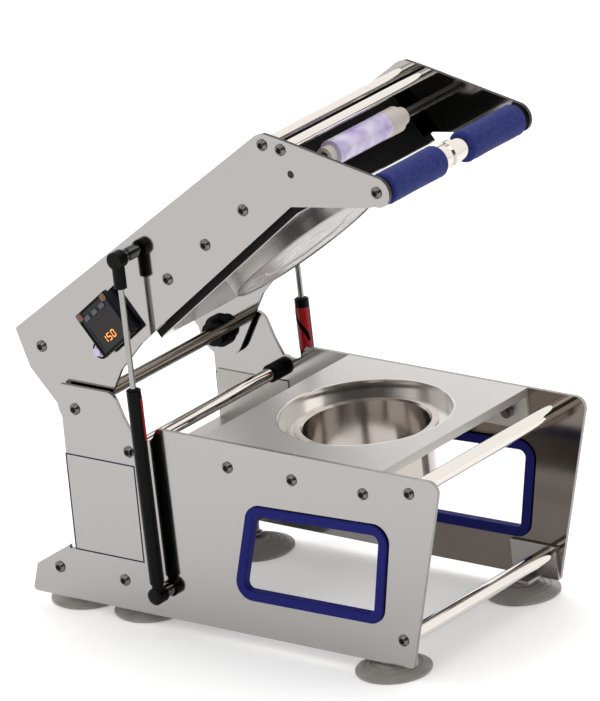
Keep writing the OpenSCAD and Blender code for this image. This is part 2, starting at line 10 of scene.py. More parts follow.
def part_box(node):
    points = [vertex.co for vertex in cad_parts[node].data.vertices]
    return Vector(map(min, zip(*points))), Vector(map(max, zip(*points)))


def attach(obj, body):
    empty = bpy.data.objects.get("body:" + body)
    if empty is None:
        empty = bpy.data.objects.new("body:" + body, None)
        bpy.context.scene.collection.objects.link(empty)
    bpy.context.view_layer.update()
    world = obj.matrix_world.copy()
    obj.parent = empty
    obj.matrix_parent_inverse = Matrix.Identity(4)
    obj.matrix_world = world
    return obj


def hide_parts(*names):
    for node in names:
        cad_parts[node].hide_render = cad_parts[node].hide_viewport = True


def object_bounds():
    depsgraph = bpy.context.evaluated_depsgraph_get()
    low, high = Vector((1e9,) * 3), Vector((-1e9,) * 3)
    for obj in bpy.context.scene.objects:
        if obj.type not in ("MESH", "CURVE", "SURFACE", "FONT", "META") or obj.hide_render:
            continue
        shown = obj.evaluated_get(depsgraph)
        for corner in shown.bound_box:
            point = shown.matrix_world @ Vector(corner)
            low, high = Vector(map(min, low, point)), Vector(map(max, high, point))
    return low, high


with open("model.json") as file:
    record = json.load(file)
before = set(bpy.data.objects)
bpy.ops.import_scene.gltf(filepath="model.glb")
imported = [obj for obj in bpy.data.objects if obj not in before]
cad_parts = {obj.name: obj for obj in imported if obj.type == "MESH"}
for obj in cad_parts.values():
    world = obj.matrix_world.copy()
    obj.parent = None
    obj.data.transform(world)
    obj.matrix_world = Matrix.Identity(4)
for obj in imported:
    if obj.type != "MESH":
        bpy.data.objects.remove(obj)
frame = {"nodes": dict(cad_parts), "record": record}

CAD_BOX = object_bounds()
MM = 0.001
NODES = frame["nodes"]
SLOT_OF = {s["node"]: s["material_slot"] for s in frame["record"]["subparts"]}
JOINTS = {j["name"]: j for j in frame["record"]["behaviour"]["joints"]}
OPEN_ANGLE = math.radians(JOINTS["head_hinge"]["range_deg"][1])
HEAD_TURN = Matrix.Rotation(-OPEN_ANGLE, 4, "Y")


# ---- materials ----

MATS = {}


class Mat:
    """A node material with a Principled shader and short ways to add procedural detail."""

    def __init__(self, name, color, metallic=0.0, rough=0.4, **extra):
        self.mat = bpy.data.materials.new(name)
        MATS[name] = self.mat
        self.mat.use_nodes = True
        self.tree = self.mat.node_tree
        self.bsdf = self.tree.nodes["Principled BSDF"]
        self.set("Base Color", tuple(color) + (1.0,))
        self.set("Metallic", metallic)
        self.set("Roughness", rough)
        for key, value in extra.items():
            self.set(key.replace("_", " "), value)
        self.coord = self.tree.nodes.new("ShaderNodeTexCoord").outputs["Object"]

    def set(self, socket, value):
        self.bsdf.inputs[socket].default_value = value

    def link(self, a, b):
        self.tree.links.new(a, b)

    def mapped(self, scale):
        node = self.tree.nodes.new("ShaderNodeMapping")
        node.inputs["Scale"].default_value = scale
        self.link(self.coord, node.inputs["Vector"])
        return node.outputs["Vector"]

    def noise(self, scale, stretch=(1, 1, 1), detail=3.0):
        node = self.tree.nodes.new("ShaderNodeTexNoise")
        node.inputs["Scale"].default_value = scale
        node.inputs["Detail"].default_value = detail
        self.link(self.mapped(stretch), node.inputs["Vector"])
        return node.outputs["Fac"]

    def ramp(self, fac, low, high):
        node = self.tree.nodes.new("ShaderNodeMapRange")
        node.inputs["From Min"].default_value = 0.3
        node.inputs["From Max"].default_value = 0.7
        node.inputs["To Min"].default_value = low
        node.inputs["To Max"].default_value = high
        self.link(fac, node.inputs["Value"])
        return node.outputs["Result"]

    def vary_rough(self, fac, low, high):
        self.link(self.ramp(fac, low, high), self.bsdf.inputs["Roughness"])
        return self

    def mix_color(self, factor, a, b):
        node = self.tree.nodes.new("ShaderNodeMix")
        node.data_type = "RGBA"
        node.inputs["A"].default_value = tuple(a) + (1.0,)
        node.inputs["B"].default_value = tuple(b) + (1.0,)
        self.link(factor, node.inputs["Factor"])
        self.link(node.outputs["Result"], self.bsdf.inputs["Base Color"])
        return self

    def vary_color(self, fac, a, b):
        return self.mix_color(self.ramp(fac, 0.0, 1.0), a, b)

    def blend_along_x(self, start, end, a, b):
        """Base colour from a to b between two places along the object's X axis."""
        split = self.tree.nodes.new("ShaderNodeSeparateXYZ")
        self.link(self.coord, split.inputs["Vector"])
        span = self.tree.nodes.new("ShaderNodeMapRange")
        span.interpolation_type = "SMOOTHSTEP"
        span.inputs["From Min"].default_value = start
        span.inputs["From Max"].default_value = end
        self.link(split.outputs["X"], span.inputs["Value"])
        return self.mix_color(span.outputs["Result"], a, b)

    def bump(self, fac, strength, distance):
        node = self.tree.nodes.new("ShaderNodeBump")
        node.inputs["Strength"].default_value = strength
        node.inputs["Distance"].default_value = distance
        self.link(fac, node.inputs["Height"])
        self.link(node.outputs["Normal"], self.bsdf.inputs["Normal"])
        return self


def steels():
    a = Mat("polished_steel", (0.385, 0.373, 0.362), 1.0, 0.07)
    a.vary_rough(a.noise(9.0), 0.05, 0.13).bump(a.noise(6.0, detail=1.0), 0.03, 0.004)
    # Polished steel with painted shade for the side plates' inner faces, darkening to brown along +X.
    a = Mat("shaded_inner_steel", (0.385, 0.373, 0.362), 1.0, 0.1)
    a.blend_along_x(-0.02, 0.08, (0.385, 0.373, 0.362), (0.19, 0.165, 0.145))
    a.vary_rough(a.noise(9.0), 0.07, 0.15).bump(a.noise(6.0, detail=1.0), 0.03, 0.004)
    a = Mat("satin_steel", (0.55, 0.535, 0.52), 0.7, 0.36)
    a.vary_rough(a.noise(14.0), 0.3, 0.4).bump(a.noise(6.0, detail=1.0), 0.03, 0.003)
    a = Mat("spun_steel", (0.6, 0.58, 0.56), 1.0, 0.16)
    a.vary_rough(a.noise(40.0), 0.12, 0.2).bump(a.noise(500.0, (0.1, 0.1, 1)), 0.02, 0.0001)
    a = Mat("cup_steel", (0.5, 0.455, 0.42), 1.0, 0.16)
    a.vary_rough(a.noise(40.0), 0.12, 0.2).bump(a.noise(500.0, (0.1, 0.1, 1)), 0.02, 0.0001)
    a = Mat("shaft_steel", (0.2, 0.17, 0.14), 1.0, 0.2)
    a.vary_rough(a.noise(60.0, (1, 0.1, 1)), 0.15, 0.26).bump(a.noise(500.0, (1, 0.02, 1)), 0.04, 0.0002)
    # Near-black steel for the arms' cut edges: a painted dark shade line along the arm edges.
    a = Mat("shaded_arm_edge", (0.05, 0.049, 0.048), 1.0, 0.3)
    a.vary_rough(a.noise(200.0), 0.24, 0.38)
    a = Mat("slate_plastic", (0.013, 0.016, 0.023), 0.0, 0.4, Specular_IOR_Level=0.25)
    a.vary_rough(a.noise(200.0), 0.34, 0.48).bump(a.noise(1400.0), 0.08, 0.0002)
    a = Mat("cut_edge", (0.3, 0.29, 0.28), 1.0, 0.3)
    a.vary_rough(a.noise(200.0), 0.24, 0.38).bump(a.noise(700.0), 0.1, 0.0002)
    a = Mat("chrome_bar", (0.72, 0.685, 0.64), 1.0, 0.06)
    a.vary_rough(a.noise(30.0), 0.04, 0.09).bump(a.noise(400.0, (1, 0.02, 1)), 0.03, 0.0002)
    a = Mat("bolt_steel", (0.17, 0.165, 0.16), 1.0, 0.16)
    a.vary_rough(a.noise(300.0), 0.1, 0.24)
    a = Mat("brushed_steel", (0.36, 0.345, 0.33), 1.0, 0.28)
    a.vary_rough(a.noise(60.0, (1, 14, 1)), 0.26, 0.33).bump(a.noise(240.0, (1, 20, 1)), 0.015, 0.0001)


def rubbers():
    a = Mat("blue_rubber", (0.009, 0.011, 0.125), 0.0, 0.5, Specular_IOR_Level=0.08)
    a.vary_rough(a.noise(120.0), 0.42, 0.58).bump(a.noise(900.0), 0.08, 0.0003)
    a = Mat("blue_foam", (0.02, 0.028, 0.14), 0.0, 0.75, Specular_IOR_Level=0.15, Sheen_Weight=0.06)
    a.vary_color(a.noise(260.0), (0.01, 0.016, 0.11), (0.022, 0.031, 0.165))
    a.bump(a.noise(1500.0), 0.35, 0.0006)


def plastics():
    a = Mat("black_plastic", (0.004, 0.004, 0.004), 0.0, 0.45, Specular_IOR_Level=0.08)
    a.vary_rough(a.noise(90.0), 0.38, 0.55).bump(a.noise(1400.0), 0.08, 0.0002)
    a = Mat("grey_rubber", (0.24, 0.225, 0.21), 0.0, 0.5, Subsurface_Weight=0.15, Specular_IOR_Level=0.3)
    a.set("Subsurface Scale", 0.004)
    a.vary_color(a.noise(40.0), (0.23, 0.214, 0.198), (0.32, 0.3, 0.28)).bump(a.noise(700.0), 0.08, 0.0003)
    a = Mat("red_plastic", (0.4, 0.012, 0.01), 0.0, 0.3, Specular_IOR_Level=0.3)
    a.vary_rough(a.noise(300.0), 0.24, 0.36)
    a = Mat("cream_plastic", (0.5, 0.47, 0.4), 0.0, 0.5)
    a.vary_rough(a.noise(200.0), 0.42, 0.58)


def other_metals():
    a = Mat("dark_steel", (0.035, 0.034, 0.033), 0.9, 0.3)
    a.vary_rough(a.noise(150.0), 0.22, 0.38)
    a = Mat("aluminium", (0.45, 0.44, 0.43), 1.0, 0.35)
    a.vary_rough(a.noise(80.0, (1, 12, 1)), 0.28, 0.42)
    a = Mat("disc_aluminium", (0.33, 0.318, 0.306), 1.0, 0.3)
    a.vary_rough(a.noise(70.0), 0.24, 0.36)


def films_and_display():
    a = Mat("clear_film", (0.6, 0.62, 0.67), 0.0, 0.2, Coat_Weight=0.3, Specular_IOR_Level=0.4)
    a.bump(a.noise(600.0, (1, 0.03, 1)), 0.15, 0.0003)
    a = Mat("white_plastic", (0.5, 0.45, 0.41), 0.0, 0.5, Specular_IOR_Level=0.3)
    a.vary_rough(a.noise(150.0), 0.44, 0.58)
    a = Mat("lilac_film", (0.45, 0.38, 0.62), 0.0, 0.25, Coat_Weight=0.25, Specular_IOR_Level=0.3)
    a.vary_color(a.noise(42.0, (1, 1, 1), 2.0), (0.34, 0.27, 0.55), (0.68, 0.64, 0.74))
    a.bump(a.noise(500.0, (1, 0.03, 1)), 0.1, 0.0003)
    a = Mat("amber_display", (0.01, 0.008, 0.007), 0.0, 0.2, Specular_IOR_Level=0.3)
    a.vary_rough(a.noise(200.0), 0.14, 0.24)
    a = Mat("grey_plastic", (0.09, 0.09, 0.1), 0.0, 0.5, Specular_IOR_Level=0.3)
    a.vary_rough(a.noise(300.0), 0.42, 0.58)
    a = Mat("lamp_lens", (0.55, 0.48, 0.7), 0.0, 0.15, Coat_Weight=0.5)
    a.vary_rough(a.noise(300.0), 0.1, 0.2)


def prints_and_fittings():
    a = Mat("black_paint", (0.003, 0.003, 0.0035), 0.0, 0.2, Specular_IOR_Level=0.08)
    a.vary_rough(a.noise(120.0), 0.14, 0.26)
    a = Mat("rod_steel", (0.33, 0.32, 0.31), 1.0, 0.12)
    a.bump(a.noise(500.0, (1, 1, 0.02)), 0.03, 0.0002)
    a = Mat("red_label", (0.33, 0.004, 0.008), 0.0, 0.3, Specular_IOR_Level=0.25)
    a.vary_rough(a.noise(150.0), 0.24, 0.36)
    a = Mat("amber_glow", (1.0, 0.36, 0.05), 0.0, 0.4,
            Emission_Color=(1.0, 0.3, 0.03, 1.0), Emission_Strength=0.9)
    a.vary_rough(a.noise(300.0), 0.3, 0.5)
    a = Mat("brass", (0.6, 0.42, 0.18), 1.0, 0.25)
    a.vary_rough(a.noise(300.0), 0.18, 0.32)
    # Near-black blue seal for the cover gaps: its darkness is painted shadow of the gap.
    a = Mat("gap_shade_gasket", (0.006, 0.006, 0.05), 0.0, 0.55, Specular_IOR_Level=0.15)
    a.vary_rough(a.noise(200.0), 0.48, 0.62)
    a = Mat("tan_plastic", (0.16, 0.085, 0.05), 0.0, 0.45, Specular_IOR_Level=0.3)
    a.vary_rough(a.noise(200.0), 0.38, 0.52)


steels()
rubbers()
plastics()
other_metals()
films_and_display()
prints_and_fittings()


def soften(obj, width):
    """Rounds a node's sharp edges by a modifier."""
    weld = obj.modifiers.new("weld", "WELD")
    weld.merge_threshold = 0.01 * MM
    rim = obj.modifiers.new("soft_rim", "BEVEL")
    rim.width = width
    rim.segments = 3
    rim.limit_method = "ANGLE"
    rim.angle_limit = math.radians(50)
    rim.harden_normals = True


# Nodes whose finish differs from their slot's.
OWN_FINISH = {"die_plate": "satin_steel", "die_ring": "spun_steel", "cup_holder": "cup_steel",
              "pivot_shaft": "shaft_steel", "guide_bar": "shaft_steel", "controller": "slate_plastic"}
FLAT = 0.6                   # least part of a face normal along Y for a face of the sheet itself
ROD_FITTING = 40 * MM        # height of the black fitting on a gas spring rod
TRIM_SOFTNESS = 1.6 * MM


def finish_sheet(mesh, side, edge, inner):
    """A sheet part: the slot's finish outside, and the given materials on the cut edges and on the side
    facing inwards, which carry painted shade on the side plates' inner faces and on the arms' cut edges.
    """
    mesh.materials.append(MATS[edge])
    mesh.materials.append(MATS[inner])
    for face in mesh.polygons:
        if abs(face.normal.y) < FLAT:
            face.material_index = 1
        elif face.normal.y * side < -FLAT:
            face.material_index = 2


def finish_rod(mesh, top):
    """A gas spring rod: steel, with a black fitting at its upper end."""
    mesh.materials.append(MATS["black_plastic"])
    for face in mesh.polygons:
        face.material_index = int(face.center.z > top - ROD_FITTING)


def finish_nodes():
    """Every CAD node gets its slot's material, and sheets, rods and trims their own extra."""
    for name, obj in NODES.items():
        mesh = obj.data
        slot = OWN_FINISH.get(name, SLOT_OF[name])
        side = -1 if name.endswith("left") else 1
        mesh.materials.clear()
        mesh.materials.append(MATS[slot])
        if name.startswith("side_plate"):
            # Painted shade on the side plates' inward faces.
            finish_sheet(mesh, side, "cut_edge", "shaded_inner_steel")
        if name.startswith("arm_") and name != "arm_bolts":
            # Painted dark shade on the arms' cut edges.
            finish_sheet(mesh, side, "shaded_arm_edge", slot)
        if name == "side_covers":
            finish_sheet(mesh, side, "cut_edge", slot)
        if name == "window_trims":
            soften(obj, TRIM_SOFTNESS)
        if name.startswith("spring_rod"):
            finish_rod(mesh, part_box(name)[1].z)


finish_nodes()


# ---- mesh helpers ----

def new_piece(name, bm, slot, body, at=None, smooth=True):
    """Turns a bmesh into a piece that rides on a body, placed by the matrix at."""
    bmesh.ops.recalc_face_normals(bm, faces=bm.faces)
    mesh = bpy.data.meshes.new(name)
    if at is not None:
        bm.transform(at)
    bm.to_mesh(mesh)
    bm.free()
    mesh.materials.append(MATS[slot])
    if smooth:
        mesh.shade_smooth()
        mesh.set_sharp_from_angle(angle=math.radians(35))
    obj = bpy.data.objects.new(name, mesh)
    bpy.context.scene.collection.objects.link(obj)
    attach(obj, body)
    return obj


def islands(node):
    """Boxes of a node's separate solids, each (lowest corner, highest corner), sorted."""
    mesh = NODES[node].data
    keys, parent = {}, []

    def find(i):
        while parent[i] != i:
            parent[i] = parent[parent[i]]
            i = parent[i]
        return i

    ids = []
    for v in mesh.vertices:
        key = tuple(round(c * 1e5) for c in v.co)
        if key not in keys:
            keys[key] = len(parent)
            parent.append(len(parent))
        ids.append(keys[key])
    for p in mesh.polygons:
        first = find(ids[p.vertices[0]])
        for i in p.vertices[1:]:
            parent[find(ids[i])] = first
    boxes = {}
    for v, i in zip(mesh.vertices, ids):
        lo, hi = boxes.setdefault(find(i), ([9.0] * 3, [-9.0] * 3))
        for k in range(3):
            lo[k] = min(lo[k], v.co[k])
            hi[k] = max(hi[k], v.co[k])
    return sorted((Vector(lo), Vector(hi)) for lo, hi in boxes.values())


def turn_point(r, i, steps):
    """The i-th of steps points round a circle of radius r."""
    a = 2 * math.pi * i / steps
    return r * math.cos(a), r * math.sin(a)


def circle(bm, r, z, steps):
    return [bm.verts.new((*turn_point(r, i, steps), z)) for i in range(steps)]


def bridge(bm, loops):
    """Faces between each closed loop and the next, and from the last to the first."""
    n = len(loops[0])
    for a, b in zip(loops, loops[1:] + loops[:1]):
        for i in range(n):
            bm.faces.new((a[i], a[(i + 1) % n], b[(i + 1) % n], b[i]))


def sleeve(profile, steps):
    """Closed ring about +Z, swept from a closed outline of (radius, height) points."""
    bm = bmesh.new()
    bridge(bm, [circle(bm, r, z, steps) for r, z in profile])
    return bm


def lathe(profile, steps=48):
    """Closed bmesh turned about +Z from (radius, height) points, bottom to top."""
    bm = bmesh.new()
    rings = [[bm.verts.new((0, 0, z))] if r == 0 else circle(bm, r, z, steps) for r, z in profile]
    for a, b in zip(rings, rings[1:]):
        for i in range(steps):
            j = (i + 1) % steps
            quad = [a[i % len(a)], a[j % len(a)], b[j % len(b)], b[i % len(b)]]
            bm.faces.new([v for k, v in enumerate(quad) if v not in quad[:k]])
    for ring in (rings[0], rings[-1]):
        if len(ring) > 1:
            bm.faces.new(ring)
    return bm


def prism(points, height, rim=0.0):
    """Closed bmesh of an XY outline raised along +Z, with an optional chamfer of size rim round its top."""
    bm = bmesh.new()
    low = [bm.verts.new((x, y, 0.0)) for x, y in points]
    face = bm.faces.new(low)
    out = bmesh.ops.extrude_face_region(bm, geom=[face])
    top = [g for g in out["geom"] if isinstance(g, bmesh.types.BMVert)]
    for v in top:
        v.co.z = height
    if rim > 0:
        ring = [e for e in bm.edges if all(v in top for v in e.verts)]
        bmesh.ops.bevel(bm, geom=ring, offset=rim, segments=2, affect="EDGES", profile=0.5)
    return bm


def merge(parts):
    """One bmesh out of several, each with its own placing matrix."""
    whole = bmesh.new()
    for bm, at in parts:
        bm.transform(at)
        mesh = bpy.data.meshes.new("part")
        bm.to_mesh(mesh)
        bm.free()
        whole.from_mesh(mesh)
        bpy.data.meshes.remove(mesh)
    return whole


def polygon(n, r, turn=0.0):
    angles = [math.radians(turn) + 2 * math.pi * i / n for i in range(n)]
    return [(r * math.cos(a), r * math.sin(a)) for a in angles]


def rounded_outline(w, d, r):
    """Rectangle w by d with corners of radius r, five points to a corner."""
    pts = []
    for sx, sy, start in ((1, 1, 0), (-1, 1, 90), (-1, -1, 180), (1, -1, 270)):
        for i in range(5):
            a = math.radians(start + 22.5 * i)
            pts.append((sx * (w / 2 - r) + r * math.cos(a), sy * (d / 2 - r) + r * math.sin(a)))
    return pts


def frame_ring(w, d, wall, r, h):
    """Closed rounded frame, w by d outside, in XY and raised along +Z."""
    outer = rounded_outline(w, d, r)
    inner = rounded_outline(w - 2 * wall, d - 2 * wall, max(r - wall, 0.2 * MM))
    bm = bmesh.new()
    levels = ((outer, 0.0), (outer, h), (inner, h), (inner, 0.0))
    bridge(bm, [[bm.verts.new((x, y, z)) for x, y in pts] for pts, z in levels])
    return bm


def scaled(*points):
    """(radius, height) points from millimetres to metres."""
    return [(r * MM, z * MM) for r, z in points]


def facing(point, side):
    """Placing matrix for a piece whose +Z points out along side * Y from point."""
    return Matrix.Translation(point) @ Matrix.Rotation(math.radians(-90.0 * side), 4, "X")


# ---- bolts ----

BOLT_LEAST = 9 * MM          # a bolt with its head is longer than this, a nut is not
SOCKET_R = 2.9 * MM


def bolt_sockets(node, body):
    """A flat dark hexagon of painted shade standing in for the socket, and the socket's rim, on the crown of
    each domed bolt head.
    """
    socket_shades, rims = [], []
    rim = scaled((3.1, 0), (3.35, 0.22), (3.75, 0.22), (3.9, 0))
    for lo, hi in islands(node):
        if hi.y - lo.y < BOLT_LEAST:
            continue
        side = 1 if (lo.y + hi.y) > 0 else -1
        at = facing(Vector(((lo.x + hi.x) / 2, hi.y if side > 0 else lo.y, (lo.z + hi.z) / 2)), side)
        turn = (round(lo.x * 1e4) * 37) % 60
        # Painted shade: a flat black hexagon in place of the socket's recess.
        socket_shades.append((prism(polygon(6, SOCKET_R, turn), 0.12 * MM), at))
        rims.append((lathe(rim, 24), at))
    new_piece(node + "_socket_shades", merge(socket_shades), "black_plastic", body, smooth=False)
    new_piece(node + "_socket_rims", merge(rims), "bolt_steel", body)


bolt_sockets("frame_bolts", "base")
bolt_sockets("arm_bolts", "head")


# ---- handle grips ----

GRIP_BORE = 8.05 * MM
GRIP_ROUND = 5 * MM          # radius of a grip's softly rounded ends
GRIP_WAIST = 0.35 * MM


def foam_grip(node, body):
    """A foam sleeve with softly rounded ends, a slight waist and a fine parting line."""
    lo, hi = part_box(node)
    r = (hi.x - lo.x) / 2
    half = (hi.y - lo.y) / 2
    straight = half - GRIP_ROUND
    profile = [(GRIP_BORE, -half)]
    for i in range(9):
        a = math.radians(-90 + 11.25 * i)
        profile.append((r - GRIP_ROUND + GRIP_ROUND * math.cos(a), -straight + GRIP_ROUND * math.sin(a)))
    for i in range(1, 20):
        t = i / 20
        dip = GRIP_WAIST * math.sin(math.pi * t) ** 2
        groove = GRIP_WAIST if i in (1, 19) else 0.0
        profile.append((r - dip - groove, -straight + 2 * t * straight))
    for i in range(9):
        a = math.radians(11.25 * i)
        profile.append((r - GRIP_ROUND + GRIP_ROUND * math.cos(a), straight + GRIP_ROUND * math.sin(a)))
    profile.append((GRIP_BORE, half))
    at = Matrix.Translation((lo + hi) / 2) @ Matrix.Rotation(math.pi / 2, 4, "X")
    piece = new_piece(node + "_foam", sleeve(profile, 64), "blue_foam", body, at)
    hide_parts(node)


foam_grip("grip_left", "head")
foam_grip("grip_right", "head")


# ---- gas springs ----

LABEL_R = 7.92 * MM          # just outside the label on a spring's tube
FOOT_CAP = scaled((8.9, 0), (8.9, 0.5), (8.0, 1.3), (5.0, 1.9), (0, 2.1))
WIPER = scaled((3.2, 222.0), (5.9, 222.0), (6.4, 222.5), (5.6, 223.2), (3.8, 223.5), (3.2, 223.2))


def spring_foot(name):
    """Centre of a gas spring's lower eye."""
    return Vector(JOINTS["spring_%s_swing" % name]["pos_m"])


def along_spring(name):
    """Placing matrix with its origin at a spring's foot and +Z along its rod."""
    axis = Vector(JOINTS["spring_%s_stroke" % name]["axis"]).normalized()
    turn = Vector((0, 0, 1)).rotation_difference(axis).to_matrix().to_4x4()
    return Matrix.Translation(spring_foot(name)) @ turn


def swoosh(name, middle):
    """A plain black S-shaped band printed over a spring's red label, for decoration only."""
    bm = bmesh.new()
    rows = []
    for i in range(41):
        t = i / 40
        centre = middle + 50 * math.cos(math.pi * t)
        wide = 8 + 12 * math.sin(math.pi * t)
        angles = [math.radians(centre + k * wide) for k in (-1, -0.5, 0, 0.5, 1)]
        z = (178 + 32 * t) * MM
        rows.append([bm.verts.new((LABEL_R * math.cos(a), LABEL_R * math.sin(a), z)) for a in angles])
    for a, b in zip(rows, rows[1:]):
        for i in range(4):
            bm.faces.new((a[i], a[i + 1], b[i + 1], b[i]))
    bmesh.ops.solidify(bm, geom=bm.faces[:], thickness=0.1 * MM)
    new_piece("spring_swoosh_" + name, bm, "black_paint", "spring_tube_" + name, along_spring(name))


def spring_trim(name, side):
    """The rod's wiper ring and the cap over the lower eye."""
    body = "spring_tube_" + name
    new_piece("spring_wiper_" + name, sleeve(WIPER, 32), "black_plastic", body, along_spring(name))
    foot = spring_foot(name)
    lo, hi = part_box("lower_studs")
    foot.y = (hi.y if side > 0 else lo.y) - side * 1.0 * MM
    new_piece("spring_foot_cap_" + name, lathe(FOOT_CAP, 40), "black_plastic", body, facing(foot, side))


for name, side, middle in (("left", -1, 90), ("right", 1, -75)):
    swoosh(name, middle)
    spring_trim(name, side)


# ---- head frame ----

PIVOT = Vector(JOINTS["head_hinge"]["pos_m"])
HEAD = Matrix.Translation(PIVOT) @ HEAD_TURN


def head_box(node):
    """A head node's box along the head (x), across it (y) and up it (z)."""
    back = HEAD.inverted()
    columns = list(zip(*(back @ v.co for v in NODES[node].data.vertices)))
    return Vector([min(c) for c in columns]), Vector([max(c) for c in columns])


def on_head(x, y, z, turn=0.0):
    """Placing matrix at a point of the head, turned about X."""
    return HEAD @ Matrix.Translation((x, y, z)) @ Matrix.Rotation(turn, 4, "X")


# ---- controller ----

SEGMENTS = {"1": "bc", "5": "afgcd", "0": "abcdef"}
# Each segment's place across and up, in half digits, and whether it is upright.
BARS = {"a": (0, 1, 0), "g": (0, 0, 0), "d": (0, -1, 0), "f": (-1, 0.5, 1), "b": (1, 0.5, 1),
        "e": (-1, -0.5, 1), "c": (1, -0.5, 1)}
LAMP_BEZEL = scaled((7.1, 0), (9.6, 0), (9.6, 1.6), (8.6, 2.9), (7.1, 2.9))


def digit_bars(pane, digits):
    """Seven-segment bars laid on the display window."""
    parts = []
    for k, digit in enumerate(digits):
        for name in SEGMENTS[digit]:
            dx, dy, upright = BARS[name]
            at = Matrix.Translation(((9 + 7.2 * k + dx * 2.1) * MM, (7.5 + dy * 3.6) * MM, 0.05 * MM))
            w, d = (1.1, 3.1) if upright else (3.7, 1.1)
            parts.append((prism(rounded_outline(w * MM, d * MM, 0.45 * MM), 0.2 * MM), pane @ at))
    return merge(parts)


def controller_details():
    lo, hi = head_box("controller")
    size = hi.x - lo.x
    face = on_head((lo.x + hi.x) / 2, lo.y, (lo.z + hi.z) / 2, math.pi / 2)
    bezel = frame_ring(size - 0.4 * MM, size - 0.4 * MM, 2.4 * MM, 2.2 * MM, 0.9 * MM)
    new_piece("controller_bezel", bezel, "black_plastic", "head", face)
    pads = []
    corner = size / 2 - 4.6 * MM
    for a, b in ((1, 1), (-1, 1), (1, -1)):
        at = Matrix.Translation((a * corner, b * corner, 0.3 * MM))
        pads.append((prism(rounded_outline(7.6 * MM, 7.6 * MM, 2 * MM), 1.3 * MM, 0.4 * MM), face @ at))
    new_piece("controller_corner_caps", merge(pads), "tan_plastic", "head")
    window, _ = head_box("display_window")
    digits = digit_bars(on_head(*window, math.pi / 2), "150")
    new_piece("display_digits", digits, "amber_glow", "head", smooth=False)
    lo, hi = head_box("pilot_lamp")
    arm_lo, _ = head_box("arm_left")
    at = on_head((lo.x + hi.x) / 2, arm_lo.y, (lo.z + hi.z) / 2, math.pi / 2)
    new_piece("pilot_lamp_bezel", sleeve(LAMP_BEZEL, 40), "black_plastic", "head", at)


controller_details()


# ---- electrical box and rear panel ----

SCREW = scaled((3.4, -0.2), (3.4, 0.5), (2.6, 1.5), (1.2, 2.0), (0, 2.1))
GASKET_WALL = 1.25 * MM
GASKET_GAP = 1.3 * MM        # from a cover's edge to the gasket's outside
REARWARD = Matrix.Rotation(math.radians(-90), 4, "Y")


def cover_gap_shade_gaskets():
    """Dark blue seal strip in the gap round each side cover, kept near-black as painted shadow of the gap."""
    parts = []
    for lo, hi in islands("side_covers"):
        side = 1 if lo.y > 0 else -1
        w, d = hi.x - lo.x + 2 * GASKET_GAP, hi.z - lo.z + 2 * GASKET_GAP
        ring = frame_ring(w, d, GASKET_WALL, 1.0 * MM, 3.6 * MM)
        at = facing(Vector(((lo.x + hi.x) / 2, hi.y if side > 0 else lo.y, (lo.z + hi.z) / 2)), side)
        parts.append((ring, at @ Matrix.Translation((0, 0, -3.3 * MM))))
    new_piece("cover_gap_shade_gaskets", merge(parts), "gap_shade_gasket", "base")


def lid_screws(lo, hi):
    heads, slot_shades = [], []
    for y in (lo.y + 8 * MM, -0.02, 0.045, hi.y - 8 * MM):
        for z in (lo.z + 5 * MM, hi.z - 5 * MM):
            at = Matrix.Translation((lo.x, y, z)) @ REARWARD
            # Painted shade: a flat black bar on each screw head in place of its slot.
            slot = prism(rounded_outline(3.4 * MM, 0.8 * MM, 0.3 * MM), 0.12 * MM)
            heads.append((lathe(SCREW, 24), at))
            slot_shades.append((slot, at @ Matrix.Translation((0, 0, 2.06 * MM))))
    new_piece("lid_screws", merge(heads), "bolt_steel", "base")
    new_piece("lid_screw_slot_shades", merge(slot_shades), "black_plastic", "base", smooth=False)


def inlet_pins():
    lo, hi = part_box("power_inlet")
    mid = (lo + hi) / 2
    pins = []
    for dy, dz in ((-7, -1.5), (0, 2.5), (7, -1.5)):
        at = Matrix.Translation((lo.x + 15.5 * MM, mid.y + dy * MM, mid.z + dz * MM)) @ REARWARD
        pins.append((prism(rounded_outline(4.0 * MM, 2.0 * MM, 0.3 * MM), 11 * MM, 0.4 * MM), at))
    new_piece("inlet_pins", merge(pins), "brass", "base", smooth=False)


def lid_louvres(lo):
    fins = []
    for i in range(6):
        at = Matrix.Translation((lo.x, 0.078, lo.z + (13 + 6 * i) * MM)) @ REARWARD
        fins.append((prism(rounded_outline(1.6 * MM, 44 * MM, 0.75 * MM), 1.6 * MM, 0.5 * MM), at))
    new_piece("lid_louvres", merge(fins), "brushed_steel", "base")


def rear_panel():
    lo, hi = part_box("box_lid")
    lid_screws(lo, hi)
    inlet_pins()
    lid_louvres(lo)


cover_gap_shade_gaskets()
rear_panel()


# ---- head fittings ----

COVER_SCREW = scaled((4.2, -0.2), (4.2, 0.6), (3.2, 1.9), (0, 2.4))


